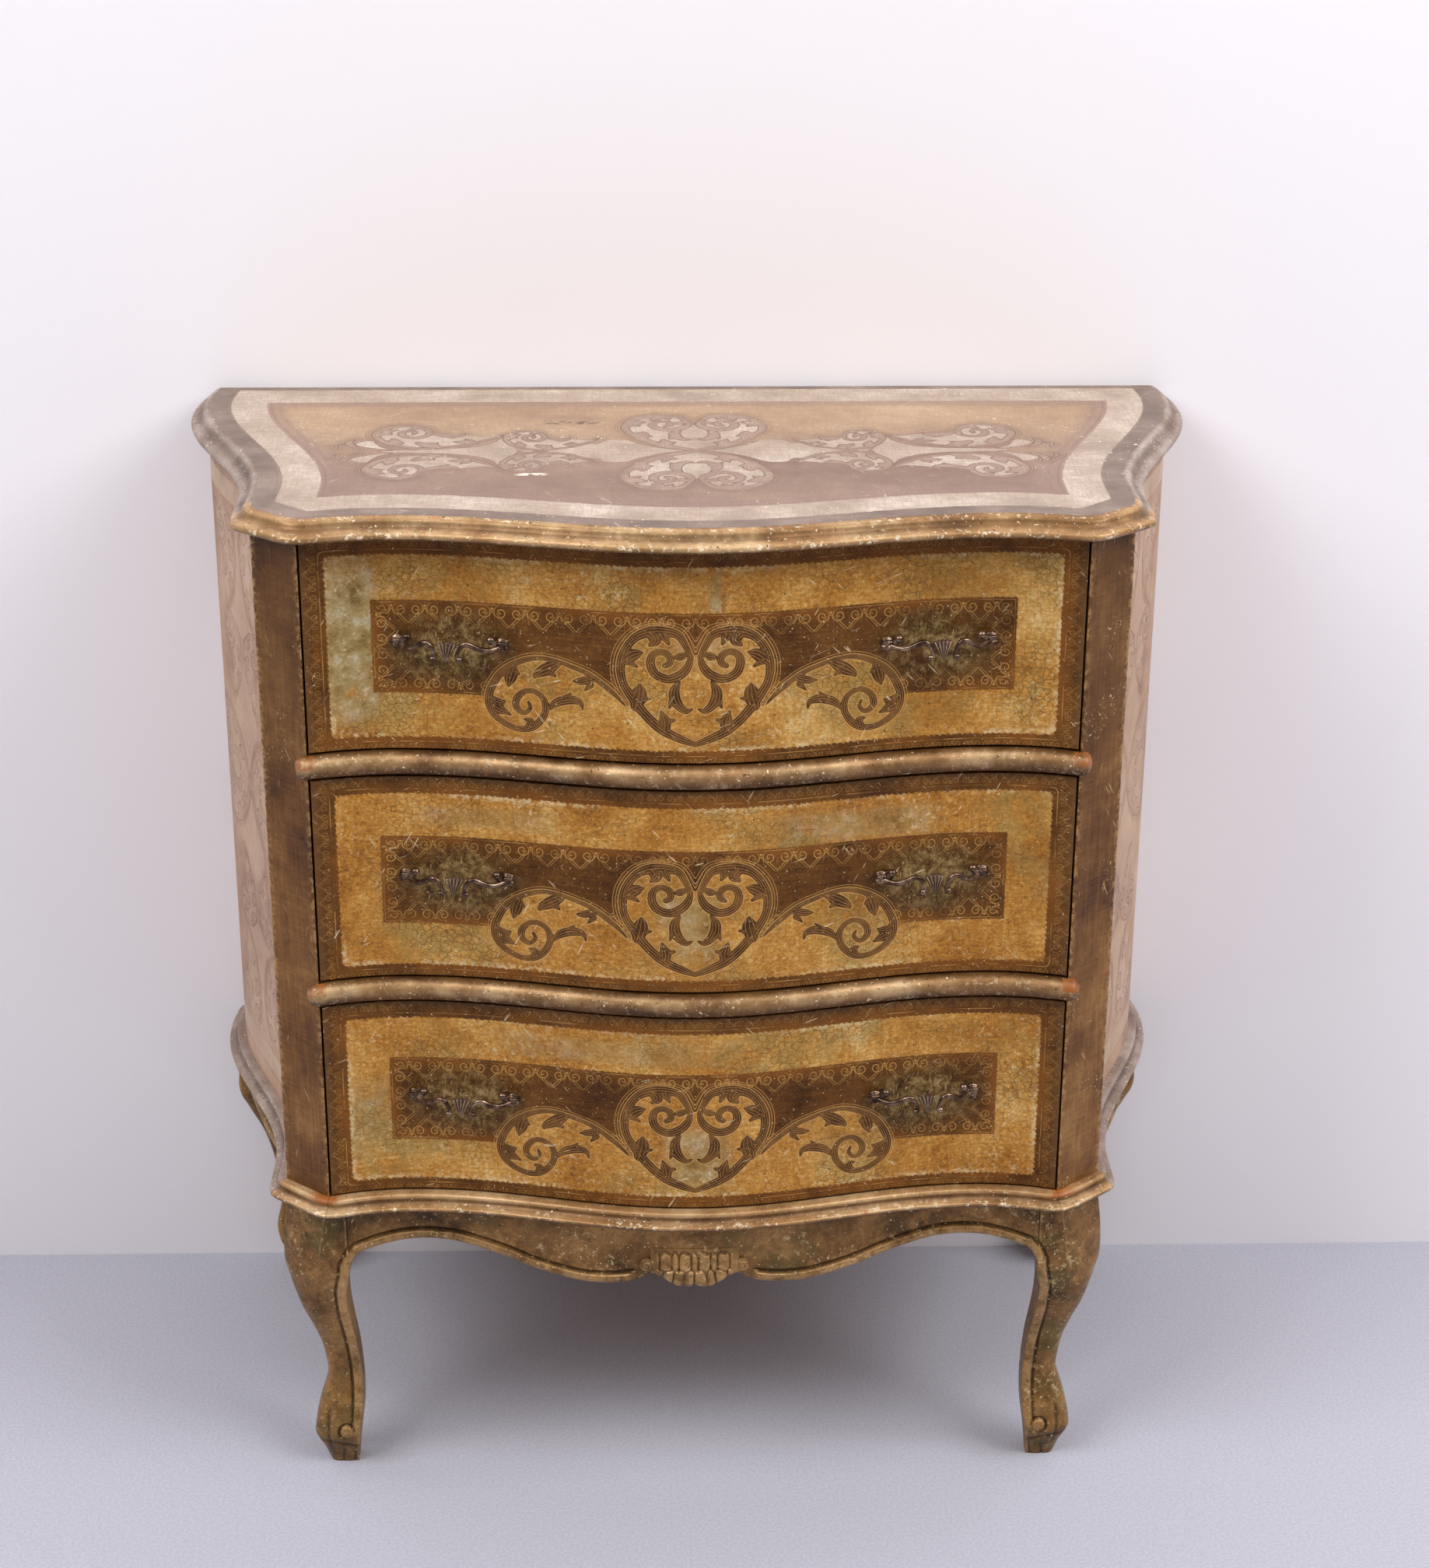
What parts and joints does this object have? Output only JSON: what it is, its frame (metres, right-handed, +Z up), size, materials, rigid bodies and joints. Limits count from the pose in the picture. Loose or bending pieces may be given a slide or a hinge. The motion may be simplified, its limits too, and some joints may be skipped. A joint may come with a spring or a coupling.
{
  "type": "chest of drawers",
  "caption": "Small commode chest with a serpentine front, flared sides, canted corners, moulded top, sliding drawers with swan-neck pulls, shaped aprons and cabriole legs.",
  "frame": {"origin": "on the floor, at the centre of the whole chest's bounding box", "axes": "+X to the right as seen from the front, +Y to the back, +Z up; the drawers face and slide towards -Y"},
  "size_m": [0.788, 0.3945, 0.809],
  "materials": {
    "painted_top": "painted and tooled, worn satin glaze",
    "painted_side": "painted, satin",
    "gold_leaf_front": "gold leaf under a dark glaze, satin",
    "gilded_moulding": "gilded, rubbed",
    "bronze_gilt_wood": "bronze gilding, satin",
    "gilded_legs": "antiqued gilding, satin",
    "bare_wood": "unfinished wood",
    "dark_bronze": "dark patinated cast brass"
  },
  "bodies": {
    "case": {"top_board": "painted_top", "left_side_panel": "painted_side", "right_side_panel": "painted_side", "front_left_post": "bronze_gilt_wood", "front_right_post": "bronze_gilt_wood", "rear_left_post": "bare_wood", "rear_right_post": "bare_wood", "back_panel": "bare_wood", "bottom_board": "bare_wood", "lower_divider_rail": "gilded_moulding", "upper_divider_rail": "gilded_moulding", "base_moulding_front": "gilded_moulding", "base_moulding_front_left": "gilded_moulding", "base_moulding_front_right": "gilded_moulding", "base_moulding_left": "gilded_moulding", "base_moulding_right": "gilded_moulding", "lower_left_guide": "bare_wood", "lower_right_guide": "bare_wood", "middle_left_runner": "bare_wood", "middle_right_runner": "bare_wood", "upper_left_runner": "bare_wood", "upper_right_runner": "bare_wood", "left_kicker": "bare_wood", "right_kicker": "bare_wood", "front_apron": "gilded_legs", "apron_shell": "gilded_legs", "left_side_apron": "gilded_legs", "right_side_apron": "gilded_legs", "rear_rail": "gilded_legs", "front_left_leg": "gilded_legs", "front_right_leg": "gilded_legs", "rear_left_leg": "gilded_legs", "rear_right_leg": "gilded_legs"},
    "upper_drawer": {"drawer_1_front": "gold_leaf_front", "drawer_1_left_side": "bare_wood", "drawer_1_right_side": "bare_wood", "drawer_1_back": "bare_wood", "drawer_1_bottom": "bare_wood", "drawer_1_left_handle": "dark_bronze", "drawer_1_right_handle": "dark_bronze"},
    "middle_drawer": {"drawer_2_front": "gold_leaf_front", "drawer_2_left_side": "bare_wood", "drawer_2_right_side": "bare_wood", "drawer_2_back": "bare_wood", "drawer_2_bottom": "bare_wood", "drawer_2_left_handle": "dark_bronze", "drawer_2_right_handle": "dark_bronze"},
    "lower_drawer": {"drawer_3_front": "gold_leaf_front", "drawer_3_left_side": "bare_wood", "drawer_3_right_side": "bare_wood", "drawer_3_back": "bare_wood", "drawer_3_bottom": "bare_wood", "drawer_3_left_handle": "dark_bronze", "drawer_3_right_handle": "dark_bronze"}
  },
  "joints": [
    {"name": "upper_drawer_slide", "type": "slide", "parent": "case", "child": "upper_drawer", "axis": [0, -1, 0], "range_m": [0, 0.22]},
    {"name": "middle_drawer_slide", "type": "slide", "parent": "case", "child": "middle_drawer", "axis": [0, -1, 0], "range_m": [0, 0.22]},
    {"name": "lower_drawer_slide", "type": "slide", "parent": "case", "child": "lower_drawer", "axis": [0, -1, 0], "range_m": [0, 0.22]}
  ]
}
